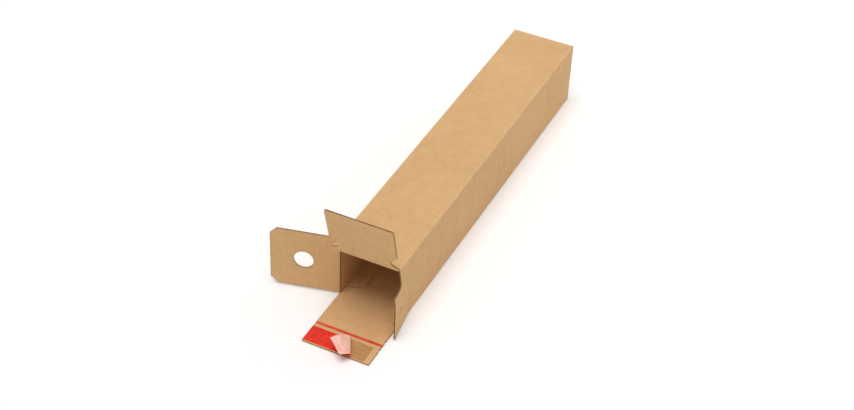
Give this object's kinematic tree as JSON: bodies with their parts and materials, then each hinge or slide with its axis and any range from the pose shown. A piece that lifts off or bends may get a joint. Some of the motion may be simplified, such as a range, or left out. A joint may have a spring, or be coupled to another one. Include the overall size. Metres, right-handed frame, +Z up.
{
  "type": "square cardboard mailing tube",
  "caption": "Long square mailing tube folded from corrugated board, with hinged die-cut end flaps, a finger-hole lid and a self-seal flap with tear strip.",
  "frame": {"origin": "centre of the sleeve's underside, which lies on the floor", "axes": "+X across the mouth, +Y along the tube from the open mouth to the closed end, +Z up"},
  "size_m": [0.2271, 0.7951, 0.2041],
  "materials": {
    "board": "matt kraft board",
    "tear_tape": "satin tape",
    "glue": "clear tacky film",
    "liner": "smooth release paper"
  },
  "bodies": {
    "sleeve": {"sleeve": "board"},
    "top_flap": {"top_flap": "board"},
    "left_flap": {"left_flap": "board"},
    "right_flap": {"right_flap": "board"},
    "bottom_flap": {"bottom_flap": "board", "tear_strip": "tear_tape", "glue_strip": "glue", "release_liner": "liner"}
  },
  "joints": [
    {"name": "top_flap_hinge", "type": "hinge", "parent": "sleeve", "child": "top_flap", "pos_m": [0, -0.345, 0.113], "axis": [1, 0, 0], "range_deg": [-20, 165]},
    {"name": "left_flap_hinge", "type": "hinge", "parent": "sleeve", "child": "left_flap", "pos_m": [-0.056, -0.318, 0.057], "axis": [0, 0, 1], "range_deg": [-19, 166]},
    {"name": "right_flap_hinge", "type": "hinge", "parent": "sleeve", "child": "right_flap", "pos_m": [0.056, -0.3105, 0.057], "axis": [0, 0, -1], "range_deg": [-89, 96]},
    {"name": "bottom_flap_hinge", "type": "hinge", "parent": "sleeve", "child": "bottom_flap", "pos_m": [0, -0.3476, 0.001], "axis": [-1, 0, 0], "range_deg": [0, 90], "deforming": ["release_liner"]}
  ]
}
